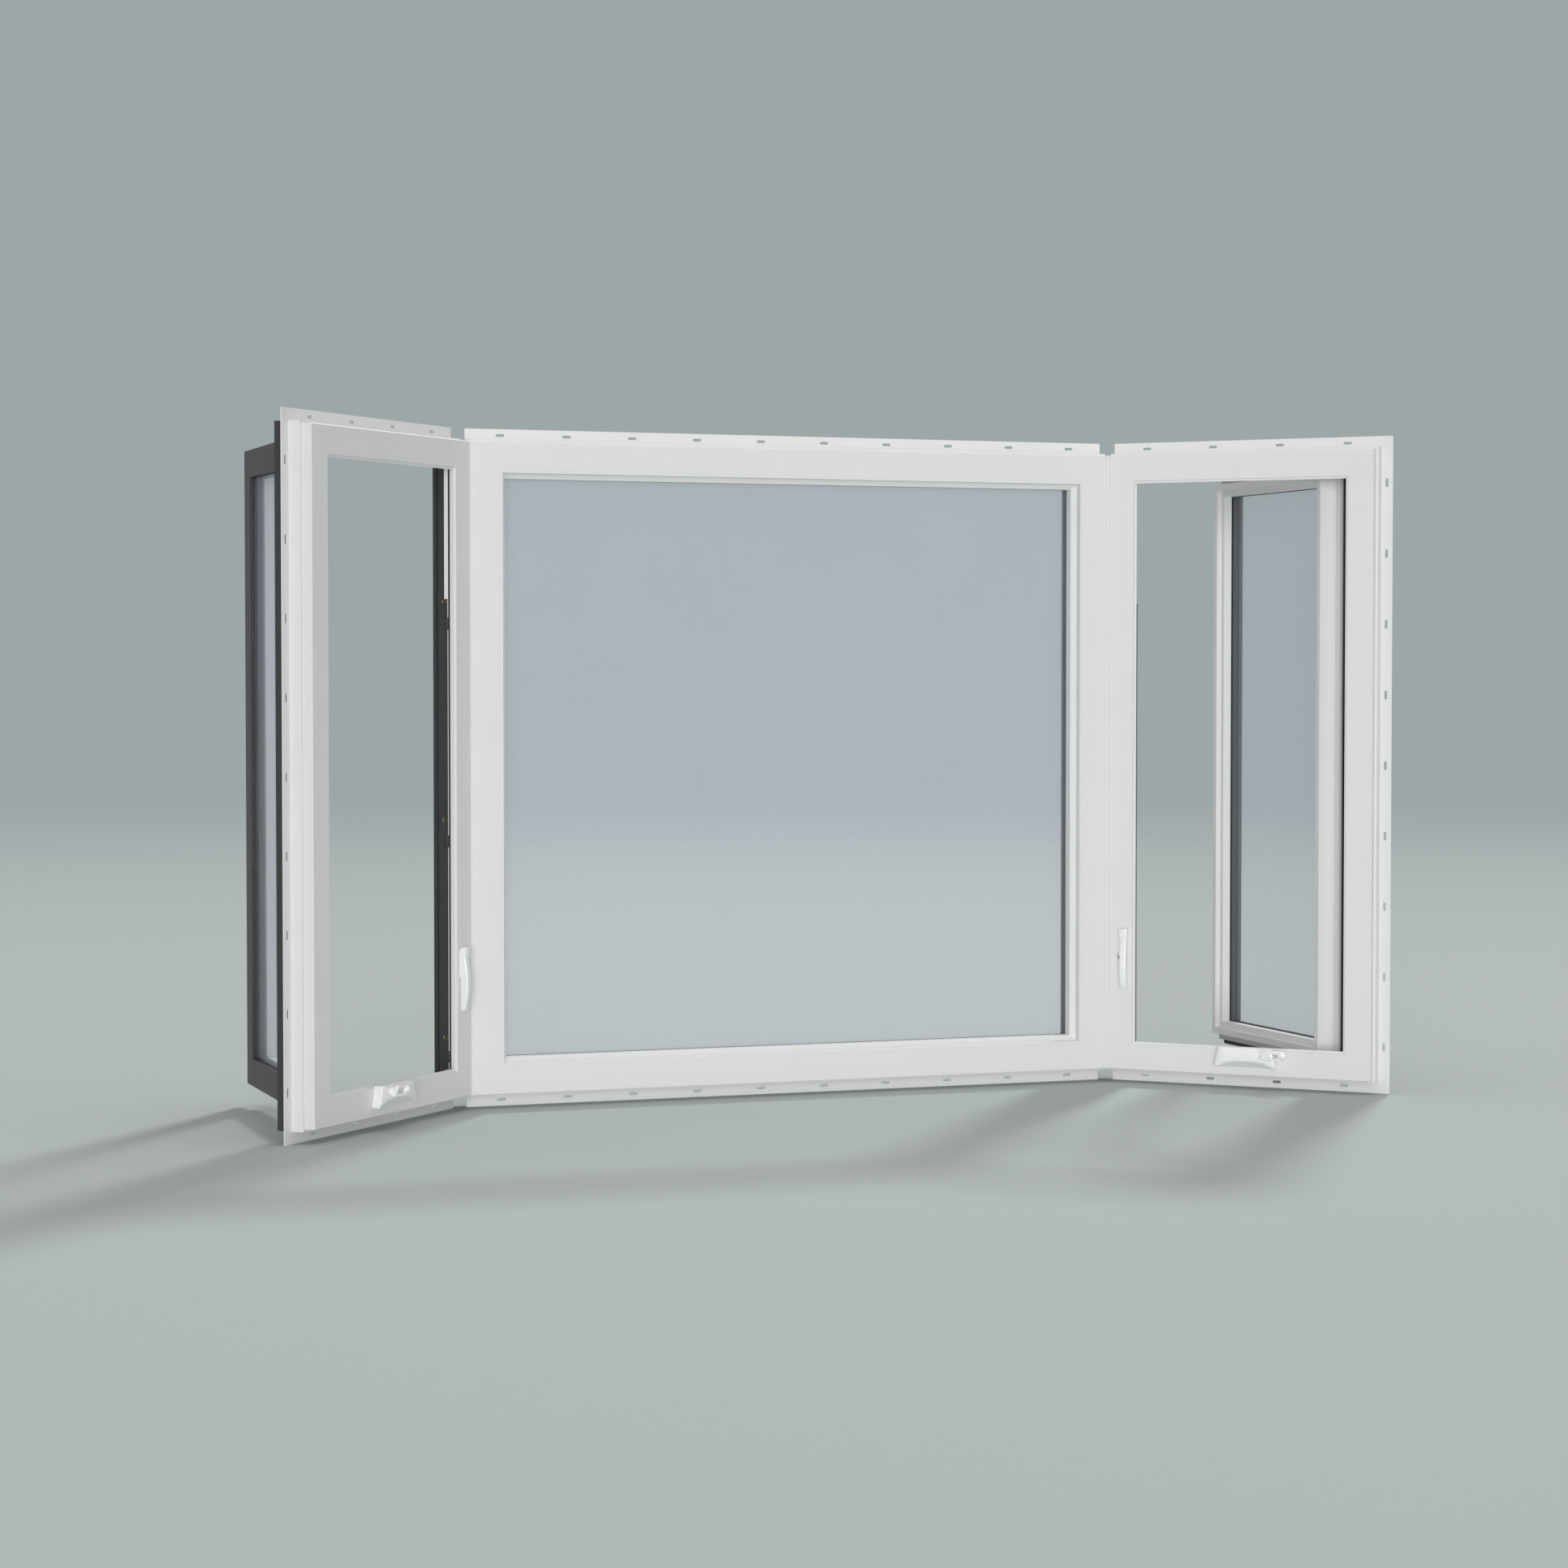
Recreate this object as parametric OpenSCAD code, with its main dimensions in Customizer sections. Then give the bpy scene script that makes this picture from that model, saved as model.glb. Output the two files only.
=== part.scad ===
// Three-part bay window: a fixed centre unit and two casement units that
// turn 45 degrees towards the room.  X runs along the centre unit, +Y is
// outdoors, -Y is the room and +Z is up.  Z = 0 is the lower edge of the fins.

/* [Overall] */
// Height of the room face of every frame
frame_h = 1362; // [900:1:1800]
// Width of the room face of the centre frame
centre_w = 1446; // [800:1:2400]
// Width of the room face of a side frame
side_w = 599; // [450:1:900]
// Turn of the side units towards the room, in degrees
bay_angle = 45; // [30:1:60]
// Gap between the room faces at a corner post
post_gap = 6.4; // [4:0.1:20]

/* [Frame profile] */
// Width of the face from its outer edge to the opening
face_w = 64; // [50:1:90]
// Distance of the decorative groove from the outer edge
groove_at = 57; // [40:1:60]
// Width of the decorative groove
groove_w = 2.4; // [1:0.1:4]
// Depth of the decorative groove
groove_d = 1; // [0.5:0.1:3]
// Depth of the room-side, white half of the frame up to the back of the fin
room_half = 50.6; // [46:0.1:58]
// Depth of the whole frame
frame_d = 81; // [76:1:110]
// Distance that the frame body stands out past the face edge
body_out = 5; // [2:0.5:10]
// Depth at which the frame body steps out
step_at = 21.7; // [10:0.1:30]
// Distance from the outer edge to the wall of a casement frame's screen recess
recess_at = 57; // [46:1:60]
// Depth of the ledge in the screen recess
ledge_d = 6; // [4:0.5:10]
// Depth of the stop that the sash closes against
stop_d = 30; // [24:1:32]
// Thickness of the frame leg outside the sash
leg_t = 20; // [14:1:24]
// Bevel on the outer edge of the face
edge_bevel = 1.5; // [0.5:0.1:3]

/* [Fins] */
// Distance that a fin stands out past the face edge
fin_out = 29.4; // [24:0.1:50]
// Thickness of a fin
fin_t = 2; // [1:0.1:4]
// Length of a nailing slot, end to end
slot_l = 19; // [12:1:30]
// Width of a nailing slot
slot_w = 6; // [4:0.5:8]
// Distance of a slot's middle from the fin's edge
slot_edge = 13.2; // [8:0.1:20]
// Distance of the first slot from the end of the frame body
slot_end = 76; // [50:1:120]
// Nominal spacing of the slots
slot_pitch = 152.4; // [100:0.1:200]

/* [Glazing] */
// Thickness of one pane
pane_t = 4; // [3:0.5:6]
// Gap between the panes of the centre unit
centre_air = 13; // [10:1:20]
// Gap between the panes of a sash
sash_air = 11; // [8:1:16]
// Depth from the room face to the centre glass
centre_glass_at = 49; // [40:1:50]
// Depth of the ledge around the centre glazing bead
centre_ledge = 19; // [10:1:24]
// Width of the glazing bead past the ledge
bead_w = 11; // [8:1:18]
// Fall of the centre bead's sloped face
bead_fall = 8; // [2:1:12]
// Width of the spacer bar between two panes
spacer_w = 8; // [6:1:10]
// Distance of the spacer bar from the edge of the panes
spacer_in = 5; // [3:1:8]

/* [Sashes] */
// Clearance between a closed sash and the frame leg
sash_clear = 2; // [1.5:0.5:4]
// Width of the weather flange around a sash
flange_w = 30; // [20:1:36]
// Thickness of a sash
sash_t = 60; // [52:1:70]
// Thickness of the dark outdoor half of a sash
sash_out_t = 13; // [12:1:20]
// Width of the raised rim on the room side of a sash
rim_w = 15; // [10:1:20]
// Depth of the ledge inside the rim
rim_ledge = 11.3; // [6:0.1:16]
// Width of the sash bead
sash_bead_w = 14; // [10:1:18]
// Height of the sash bead above the glass
sash_bead_h = 20; // [12:1:24]
// Width of the outdoor glazing lip of a sash
sash_lip = 15; // [10:1:20]
// Angle that the sashes stand open
open_angle = 45; // [30:1:80]
// Distance of the open sash's hinge edge from the outer edge of the face
hinge_in = 110; // [100:1:140]
// Depth of the open sash's hinge edge behind the room face
hinge_depth = 26.7; // [26:0.1:40]

/* [Hardware] */
// Length of the crank operator's cover
cover_l = 136; // [110:1:170]
// Distance from the opening down to the lower edge of the cover
cover_h = 46; // [36:1:56]
// Distance that the cover stands out into the room
cover_out = 24; // [16:1:34]
// Distance of the cover's middle from the inner edge of the face
cover_at = 323; // [250:1:360]
// Length of the folding crank handle
handle_l = 62; // [50:1:80]
// Radius of the crank handle's arm
handle_r = 4; // [3:0.5:6]
// Length of the lock lever
lever_l = 132; // [90:1:150]
// Width of the lock lever
lever_w = 18; // [12:1:24]
// Distance that the lock lever bows out from its plate
lever_out = 15; // [8:1:20]
// Distance of the lock lever's middle from the inner edge of the face
lever_u = 40; // [26:1:44]
// Height of the lock lever's middle above the frame's lower edge
lever_at = 247; // [200:1:500]
// Length of the bar that joins the lock points
tie_l = 975; // [600:5:1150]
// Thickness of the hinge and operator arms
arm_t = 3; // [2:0.5:5]
// Width of the hinge and operator arms
arm_w = 19; // [12:1:26]

/* [Hidden] */

white = [0.90, 0.90, 0.89];
black = [0.16, 0.16, 0.17];
glass_tint = [0.62, 0.68, 0.76, 0.45];
steel = [0.62, 0.62, 0.62];

// How far the mitre planes run into the frames
mitre_in = face_w + 30;
// Inner face of the frame leg, from the face's outer edge
leg_in = leg_t - body_out;
// The fin's room side
fin_at = room_half - fin_t;
half_h = frame_h / 2;
// Height of the middle of the frames above the floor
mid_z = half_h + fin_out;
// Closed size of a sash over its flange
sash_w = side_w - 2 * (leg_in + sash_clear);
sash_h = frame_h - 2 * (leg_in + sash_clear);
// Depths in a sash, from its room face
sash_glass_at = rim_ledge + sash_bead_h;
sash_back = sash_t - sash_out_t;
step_t = 9;
step_out = 19;
sash_step = sash_back - step_t;
sash_core_in = flange_w + rim_w - 3;
// Edge of the panes and the outdoor lip, from the face's outer edge
centre_pane_edge = face_w - 4;
centre_lip = face_w + 8;
sash_pane_edge = sash_core_in + 2;
centre_outer_glass = centre_glass_at + 2 * pane_t + centre_air;
sash_outer_glass = sash_glass_at + 2 * pane_t + sash_air;
// Width of the seat under the centre bead
seat_w = 14;
bead_seat = face_w - seat_w;
// Thin lip of the screen ledge, and the stop wall behind it
lip_at = recess_at + 5.2;
lip_t = 1.5;
stop_in = recess_at - 2;
// Where the right side unit starts
corner_x = centre_w / 2 + post_gap;
// Lowest and highest Y before the shift that centres the part over the origin
low_y = min(
    edge_bevel * cos(bay_angle) - side_w * sin(bay_angle),
    -(side_w - edge_bevel) * sin(bay_angle)
);
high_y = hinge_depth * cos(bay_angle) - (side_w - hinge_in) * sin(bay_angle)
    + sash_w * sin(bay_angle + open_angle) + max(0, sash_t * cos(bay_angle + open_angle));
y_shift = -(low_y + high_y) / 2;
// Small hardware sizes
cover_gap = 2;
cover_round = 5;
cover_seat = 0.5;
arch_h = 7;
arch_r = (pow(cover_l * 0.4, 2) + pow(arch_h, 2)) / (2 * arch_h);
handle_hub = 40;
knob_r = 6;
knob_l = 16;
boss_r = knob_r + 1;
plate_t = 4;
plate_l = 62;
plate_rim = 3;
plate_up = 6;
tie_t = 1.5;
tie_w = 7.5;
pin_d = 6;
pin_l = 7;
pin_pitch = 450;
tie_gap = 4;
rail_h = 14;
rail_w = 18;
rail_t0 = 15;
rail_neck = 3.5;
rail_end = 6;
rail_web = 12;
// Where the arms meet the rail, as parts of the sash's width
arm_reach = 0.44;
hinge_reach = 0.35;
arm_waist = arm_w - 5;
arm_gap = 5.5;
arm_drop = 12;
pivot_d = 9;
pivot_out = 31;
pivot_back = 13.3;
track_l = 150;
track_w = 16;
track_h = 5;

function slot_count(span) = round(span / slot_pitch) + 1;
function slot_places(length) =
    let (span = length - 2 * slot_end, n = slot_count(span))
    [for (i = [0:n - 1]) slot_end + span * i / (n - 1)];

// Outline of the white half of a fixed frame: inward from the face edge, and depth
function fixed_profile(fin) = concat(
    [[edge_bevel, 0], [groove_at, 0], [groove_at, groove_d], [groove_at + groove_w, groove_d],
     [groove_at + groove_w, 0], [face_w, 0], [face_w, centre_ledge], [bead_seat, centre_ledge],
     [bead_seat, room_half]],
    outer_side(fin));
// Outline of the white half of a casement frame
function casement_profile(fin) = concat(
    [[edge_bevel, 0], [recess_at, 0], [recess_at, ledge_d], [lip_at, ledge_d],
     [lip_at, ledge_d + lip_t], [stop_in, ledge_d + lip_t], [stop_in, stop_d],
     [leg_in, stop_d], [leg_in, room_half]],
    outer_side(fin));
function outer_side(fin) = concat(
    fin ? [[-fin_out, room_half], [-fin_out, fin_at], [-body_out, fin_at]]
        : [[-body_out, room_half]],
    [[-body_out, step_at], [0, step_at], [0, edge_bevel]]);

module plate_y(y0, y1)
    translate([0, y1, 0])
        rotate([90, 0, 0])
            linear_extrude(y1 - y0)
                children();

// A level bar with mitred ends; lo and hi are the outsets of its neighbours
module top_bar(profile, w, h, lo, hi, out)
    intersection() {
        translate([-lo, 0, h / 2])
            rotate([0, 90, 0])
                linear_extrude(w + lo + hi)
                    polygon(profile);
        plate_y(-1, frame_d + 1)
            polygon([
                [mitre_in, h / 2 - mitre_in], [-lo, h / 2 + lo], [-lo, h / 2 + out],
                [w + hi, h / 2 + out], [w + hi, h / 2 + hi], [w - mitre_in, h / 2 - mitre_in]
            ]);
    }

// An upright bar with mitred ends at x = 0
module side_bar(profile, h, out)
    intersection() {
        translate([0, 0, -h / 2 - out])
            linear_extrude(h + 2 * out)
                polygon(profile);
        plate_y(-1, frame_d + 1)
            polygon([
                [mitre_in, h / 2 - mitre_in], [-out, h / 2 + out],
                [-out, -h / 2 - out], [mitre_in, -h / 2 + mitre_in]
            ]);
    }

module flip_x(w)
    translate([w, 0, 0])
        mirror([1, 0, 0])
            children();

module flip_z()
    mirror([0, 0, 1])
        children();

// Four mitred bars joined into one ring
module ring(profile, w, h, out = 0) {
    top_bar(profile, w, h, out, out, out);
    flip_z() top_bar(profile, w, h, out, out, out);
    side_bar(profile, h, out);
    flip_x(w) side_bar(profile, h, out);
}

module pane(w, h, edge, y0, t)
    translate([edge, y0, -h / 2 + edge])
        cube([w - 2 * edge, t, h - 2 * edge]);

// A slot through a fin, long along x or along z
module slot(upright) {
    reach = (slot_l - slot_w) / 2;
    turn = upright ? 90 : 0;
    rotate([0, turn, 0])
        translate([0, fin_at - 1, 0]) {
            translate([-reach, 0, -slot_w / 2]) cube([2 * reach, fin_t + 2, slot_w]);
            for (x = [-reach, reach])
                translate([x, 0, 0])
                    rotate([-90, 0, 0])
                        cylinder(d = slot_w, h = fin_t + 2, $fn = 32);
        }
}

module level_slots(w)
    for (x = slot_places(w + 2 * body_out))
        translate([x - body_out, 0, half_h + fin_out - slot_edge])
            slot(false);

module upright_slots()
    for (z = slot_places(frame_h + 2 * body_out))
        translate([-fin_out + slot_edge, 0, z - half_h - body_out])
            slot(true);

// Placement of the three units
module at_centre()
    translate([-centre_w / 2, y_shift, mid_z])
        children();

module at_right()
    translate([corner_x, y_shift, mid_z])
        rotate([0, 0, -bay_angle])
            children();

module at_left()
    mirror([1, 0, 0])
        at_right()
            children();

// Centre unit
module centre_top() color(white)
    difference() {
        top_bar(fixed_profile(true), centre_w, frame_h, body_out, body_out, fin_out);
        level_slots(centre_w);
    }
module centre_head() at_centre() centre_top();
module centre_sill() at_centre() flip_z() centre_top();
module centre_left_jamb() at_centre() color(white)
    side_bar(fixed_profile(false), frame_h, body_out);
module centre_right_jamb() at_centre() flip_x(centre_w) color(white)
    side_bar(fixed_profile(false), frame_h, body_out);
module centre_outdoor_frame() at_centre() color(black)
    ring([
        [-body_out, room_half], [centre_pane_edge - 3, room_half],
        [centre_pane_edge - 3, centre_outer_glass], [centre_lip, centre_outer_glass],
        [centre_lip, frame_d], [-body_out, frame_d]
    ], centre_w, frame_h, body_out);
module centre_bead() at_centre() color(white)
    ring([
        [bead_seat, centre_ledge], [face_w, centre_ledge],
        [face_w + bead_w, centre_ledge + bead_fall], [face_w + bead_w, centre_glass_at],
        [bead_seat, centre_glass_at]
    ], centre_w, frame_h);
module centre_glass() at_centre() color(glass_tint) {
    pane(centre_w, frame_h, centre_pane_edge, centre_glass_at, pane_t);
    pane(centre_w, frame_h, centre_pane_edge, centre_outer_glass - pane_t, pane_t);
}
module centre_spacer() at_centre() color(black)
    spacer_ring(centre_w, frame_h, centre_pane_edge, centre_glass_at + pane_t, centre_air);

module spacer_ring(w, h, edge, y0, t) {
    a = edge + spacer_in;
    plate_y(y0, y0 + t)
        translate([0, -h / 2])
            difference() {
                translate([a, a]) square([w - 2 * a, h - 2 * a]);
                translate([a + spacer_w, a + spacer_w])
                    square([w - 2 * (a + spacer_w), h - 2 * (a + spacer_w)]);
            }
}

// Corner posts: a point of the right side unit, seen in plan
function side_point(u, v) = [
    corner_x + u * cos(bay_angle) + v * sin(bay_angle),
    -u * sin(bay_angle) + v * cos(bay_angle)
];
centre_side = centre_w / 2;
// Where the two outdoor planes meet
post_corner_x = corner_x + (frame_d - frame_d * cos(bay_angle)) / sin(bay_angle);

module post_body() color(white)
    translate([0, y_shift, mid_z - half_h])
        linear_extrude(frame_h)
            polygon([
                [centre_side, groove_d], [centre_side, step_at],
                [centre_side + body_out, step_at], [centre_side + body_out, room_half],
                side_point(-body_out, room_half), side_point(-body_out, step_at),
                side_point(0, step_at), side_point(0, groove_d)
            ]);
module post_skin() color(black)
    translate([0, y_shift, mid_z - half_h])
        linear_extrude(frame_h)
            polygon([
                [centre_side + body_out, room_half], [centre_side + body_out, frame_d],
                [post_corner_x, frame_d],
                side_point(-body_out, frame_d), side_point(-body_out, room_half)
            ]);
module right_post() post_body();
module left_post() mirror([1, 0, 0]) post_body();
module right_post_cover() post_skin();
module left_post_cover() mirror([1, 0, 0]) post_skin();

// Side frames
module side_top() color(white)
    difference() {
        top_bar(casement_profile(true), side_w, frame_h, body_out, fin_out, fin_out);
        level_slots(side_w);
    }
module side_outer_jamb() color(white)
    flip_x(side_w)
        difference() {
            side_bar(casement_profile(true), frame_h, fin_out);
            upright_slots();
        }
module side_inner_jamb() color(white)
    side_bar(casement_profile(false), frame_h, body_out);
module side_outdoor_frame() color(black)
    ring([
        [-body_out, room_half], [leg_in, room_half], [leg_in, frame_d], [-body_out, frame_d]
    ], side_w, frame_h, body_out);

module right_head() at_right() side_top();
module right_sill() at_right() flip_z() side_top();
module right_outer_jamb() at_right() side_outer_jamb();
module right_inner_jamb() at_right() side_inner_jamb();
module right_outdoor_frame() at_right() side_outdoor_frame();
module left_head() at_left() side_top();
module left_sill() at_left() flip_z() side_top();
module left_outer_jamb() at_left() side_outer_jamb();
module left_inner_jamb() at_left() side_inner_jamb();
module left_outdoor_frame() at_left() side_outdoor_frame();

// Sashes, drawn with the hinge edge at x = 0 and the room face at y = 0
module open_sash()
    translate([side_w - hinge_in, hinge_depth, 0])
        rotate([0, 0, -open_angle])
            mirror([1, 0, 0])
                children();

module sash_frame() color(white)
    ring([
        [flange_w, 0], [flange_w + rim_w, 0], [flange_w + rim_w, rim_ledge],
        [sash_core_in, rim_ledge], [sash_core_in, sash_back],
        [flange_w - step_out, sash_back], [flange_w - step_out, sash_step],
        [flange_w, sash_step]
    ], sash_w, sash_h);
module sash_outdoor() color(black)
    ring([
        [0, sash_back], [sash_core_in, sash_back], [sash_core_in, sash_outer_glass],
        [sash_core_in + sash_lip, sash_outer_glass], [sash_core_in + sash_lip, sash_t], [0, sash_t]
    ], sash_w, sash_h);
module sash_bead() color(white)
    ring([
        [sash_core_in, rim_ledge], [flange_w + rim_w + sash_bead_w, rim_ledge],
        [flange_w + rim_w + sash_bead_w, sash_glass_at], [sash_core_in, sash_glass_at]
    ], sash_w, sash_h);
module sash_glass() color(glass_tint) {
    pane(sash_w, sash_h, sash_pane_edge, sash_glass_at, pane_t);
    pane(sash_w, sash_h, sash_pane_edge, sash_outer_glass - pane_t, pane_t);
}
module sash_spacer() color(black)
    spacer_ring(sash_w, sash_h, sash_pane_edge, sash_glass_at + pane_t, sash_air);

module right_sash() at_right() open_sash() sash_frame();
module right_sash_outdoor_frame() at_right() open_sash() sash_outdoor();
module right_sash_bead() at_right() open_sash() sash_bead();
module right_sash_glass() at_right() open_sash() sash_glass();
module right_sash_spacer() at_right() open_sash() sash_spacer();
module left_sash() at_left() open_sash() sash_frame();
module left_sash_outdoor_frame() at_left() open_sash() sash_outdoor();
module left_sash_bead() at_left() open_sash() sash_bead();
module left_sash_glass() at_left() open_sash() sash_glass();
module left_sash_spacer() at_left() open_sash() sash_spacer();

// Hardware, drawn on the right side unit and mirrored to the left
module rod(a, b, r)
    hull() {
        translate(a) sphere(r, $fn = 24);
        translate(b) sphere(r, $fn = 24);
    }

// Points of the cover's end at x, hulled with those of the other end
module cover_end(x, upper, lower) {
    translate([x, -cover_round, -upper - cover_round])
        rotate([90, 0, 0])
            cylinder(r = cover_round, h = cover_out / 3 - cover_round, $fn = 32);
    translate([x, -cover_seat, -upper - cover_round])
        rotate([90, 0, 0])
            cylinder(r = cover_round, h = cover_round, $fn = 32);
    translate([x, cover_round - cover_out, 2 * cover_round - lower])
        sphere(cover_round, $fn = 32);
    translate([x, -cover_seat, cover_round - lower])
        rotate([90, 0, 0])
            cylinder(r = cover_round, h = cover_out / 2, $fn = 32);
}

module operator_cover() color(white) {
    lower = half_h - face_w + cover_h;
    upper = half_h - face_w + cover_gap;
    reach = cover_l / 2 - cover_round;
    translate([cover_at + handle_hub, -cover_out, cover_h / 2 - lower])
        rotate([-90, 0, 0])
            cylinder(r = boss_r, h = cover_out / 2, $fn = 48);
    difference() {
        hull() {
            cover_end(cover_at - reach, upper, lower);
            cover_end(cover_at + reach, upper, lower);
        }
        translate([cover_at, -cover_out - 1, arch_h - arch_r - lower])
            rotate([-90, 0, 0])
                cylinder(r = arch_r, h = cover_out, $fn = 96);
    }
}

// The folded handle lies towards larger u where way is 1, and smaller u where it is -1
module crank_handle(way) color(white) {
    hub = [cover_at + handle_hub, -cover_out - handle_r, -(half_h - face_w + cover_h / 2)];
    bend = hub + [way * handle_l / 3, -2, cover_h / 3];
    tip = hub + [way * (handle_l - handle_r), -2, cover_h / 8];
    rod(hub, bend, handle_r);
    rod(bend, tip, handle_r);
    rod(tip - [way * knob_l, 0, 0], tip, knob_r);
    translate(hub)
        rotate([-90, 0, 0])
            cylinder(r = handle_r, h = handle_r, $fn = 32);
}

module lock_lever() color(white) {
    bow_r = (pow(lever_l / 2, 2) + pow(lever_out, 2)) / (2 * lever_out);
    translate([lever_u, -plate_t, lever_at - half_h])
        intersection() {
            translate([-lever_w / 2, bow_r - lever_out, 0])
                rotate([0, 90, 0])
                    cylinder(r = bow_r, h = lever_w, $fn = 96);
            translate([-lever_w / 2, -lever_out, -lever_l / 2])
                cube([lever_w, lever_out, lever_l]);
        }
    plate_z = lever_at - half_h + lever_l / 2 - plate_l + plate_up;
    translate([lever_u - lever_w / 2 - plate_rim, -plate_t, plate_z])
        cube([lever_w + 2 * plate_rim, plate_t, plate_l]);
}

// A flat bar between two points in plan, a little wider at its round ends
module flat_arm(a, b, z) {
    for (end = [a, b])
        translate([end[0], end[1], z])
            cylinder(d = arm_w, h = arm_t, $fn = 32);
    translate([a[0], a[1], z])
        rotate([0, 0, atan2(b[1] - a[1], b[0] - a[0])])
            translate([0, -arm_waist / 2, 0])
                cube([norm(b - a), arm_waist, arm_t]);
}

// A point of the open sash, in plan of its unit: along it from the hinge edge, and depth
function sash_point(s, t) = [
    side_w - hinge_in - s * cos(open_angle) + t * sin(open_angle),
    hinge_depth + s * sin(open_angle) + t * cos(open_angle)
];

rebate_floor = -half_h + leg_in;
tie_low = -half_h + stop_in + tie_gap;
rim_floor = -sash_h / 2 + flange_w;
rail_floor = rim_floor - rail_h;

module operator_arm() color(steel) {
    low = rail_floor - arm_drop;
    root = [cover_at, stop_d + arm_w / 2 + 2];
    end = sash_point(sash_w * arm_reach, rail_t0 + rail_w / 2);
    flat_arm(root, end, low);
    translate([root[0], root[1], rebate_floor])
        cylinder(d = pivot_d, h = low - rebate_floor + 1, $fn = 32);
    translate([end[0], end[1], low + 1])
        cylinder(d = pivot_d, h = rail_floor - low - 1, $fn = 32);
}

// Rail on the sash, with its arm down to a track on the frame
module hinge_set() color(steel) {
    low = rail_floor - arm_gap - arm_t;
    root = [side_w - hinge_in + pivot_out, hinge_depth + pivot_back];
    end = sash_point(sash_w * hinge_reach, rail_t0 + rail_w / 2);
    open_sash() {
        translate([flange_w + rail_end, rail_t0, rail_floor])
            cube([sash_w - 2 * (flange_w + rail_end), rail_w, rail_h - rail_neck]);
        translate([flange_w + rail_end, rail_t0 + (rail_w - rail_web) / 2, rail_floor])
            cube([sash_w - 2 * (flange_w + rail_end), rail_web, rail_h]);
    }
    flat_arm(root, end, low);
    translate([end[0], end[1], low + 1])
        cylinder(d = pivot_d, h = rail_floor - low, $fn = 32);
    translate([root[0], root[1], rebate_floor])
        cylinder(d = pivot_d, h = low - rebate_floor + 1, $fn = 32);
    translate([root[0] - track_l, root[1] - track_w / 2, rebate_floor])
        cube([track_l + arm_w, track_w, track_h]);
}
module hinge_arms() {
    hinge_set();
    flip_z() hinge_set();
}

// Bar on the stop wall, up from the lower stop
module tie_bar() color(black)
    translate([stop_in, stop_d - tie_w, tie_low])
        cube([tie_t, tie_w, tie_l]);
module tie_pins() color(black)
    for (k = [0:2])
        translate([stop_in + tie_t / 2, stop_d - tie_w / 2, tie_low + tie_l - pin_d - k * pin_pitch])
            rotate([0, 90, 0])
                cylinder(d = pin_d, h = pin_l, $fn = 24);

module right_operator_cover() at_right() operator_cover();
module right_crank_handle() at_right() crank_handle(1);
module right_lock_lever() at_right() lock_lever();
module right_operator_arm() at_right() operator_arm();
module right_hinge_arms() at_right() hinge_arms();
module right_tie_bar() at_right() tie_bar();
module left_operator_cover() at_left() operator_cover();
module left_crank_handle() at_left() crank_handle(-1);
module left_lock_lever() at_left() lock_lever();
module left_operator_arm() at_left() operator_arm();
module left_hinge_arms() at_left() hinge_arms();
module left_tie_bar() at_left() {
    tie_bar();
    tie_pins();
}

centre_head();
centre_sill();
centre_left_jamb();
centre_right_jamb();
centre_outdoor_frame();
centre_bead();
centre_glass();
centre_spacer();
left_post();
right_post();
left_post_cover();
right_post_cover();
left_head();
left_sill();
left_inner_jamb();
left_outer_jamb();
left_outdoor_frame();
right_head();
right_sill();
right_inner_jamb();
right_outer_jamb();
right_outdoor_frame();
left_sash();
left_sash_outdoor_frame();
left_sash_bead();
left_sash_glass();
left_sash_spacer();
right_sash();
right_sash_outdoor_frame();
right_sash_bead();
right_sash_glass();
right_sash_spacer();
left_operator_cover();
left_crank_handle();
left_lock_lever();
left_operator_arm();
left_hinge_arms();
left_tie_bar();
right_operator_cover();
right_crank_handle();
right_lock_lever();
right_operator_arm();
right_hinge_arms();
right_tie_bar();
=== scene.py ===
"""Three-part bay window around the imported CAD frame: a fixed centre unit and two open casements.

Metres, +X along the centre unit, -Y indoors, +Z up. Each new piece is modelled in its unit's own
frame in millimetres, and placed() moves it to the row frame.
"""
import math

import bpy
from mathutils import Matrix, Vector


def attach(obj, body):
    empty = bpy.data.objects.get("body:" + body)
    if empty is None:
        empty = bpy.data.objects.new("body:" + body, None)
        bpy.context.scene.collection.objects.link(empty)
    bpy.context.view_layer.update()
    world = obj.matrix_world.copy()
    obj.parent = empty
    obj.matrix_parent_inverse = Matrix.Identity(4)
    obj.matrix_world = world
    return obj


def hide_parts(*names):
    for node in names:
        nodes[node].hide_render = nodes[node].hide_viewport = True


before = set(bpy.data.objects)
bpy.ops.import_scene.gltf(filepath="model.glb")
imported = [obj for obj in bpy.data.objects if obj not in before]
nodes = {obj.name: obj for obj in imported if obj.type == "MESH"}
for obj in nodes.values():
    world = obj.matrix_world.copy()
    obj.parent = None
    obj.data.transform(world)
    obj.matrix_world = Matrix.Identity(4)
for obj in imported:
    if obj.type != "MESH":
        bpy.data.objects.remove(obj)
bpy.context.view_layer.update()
MM = 0.001
RIGHT_ANGLE = math.pi / 2
UNIT_TURN = math.radians(45)


# ---------------------------------------------------------------- materials
def linear(hex_code):
    """An sRGB hex colour as linear RGBA."""
    values = [int(hex_code[i : i + 2], 16) / 255 for i in (1, 3, 5)]
    return tuple(v / 12.92 if v <= 0.04045 else ((v + 0.055) / 1.055) ** 2.4 for v in values) + (1.0,)


def cells(spacing):
    """Pattern cells in a metre, as a whole number, from their spacing in millimetres."""
    return float(round(1000 / spacing))


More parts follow.
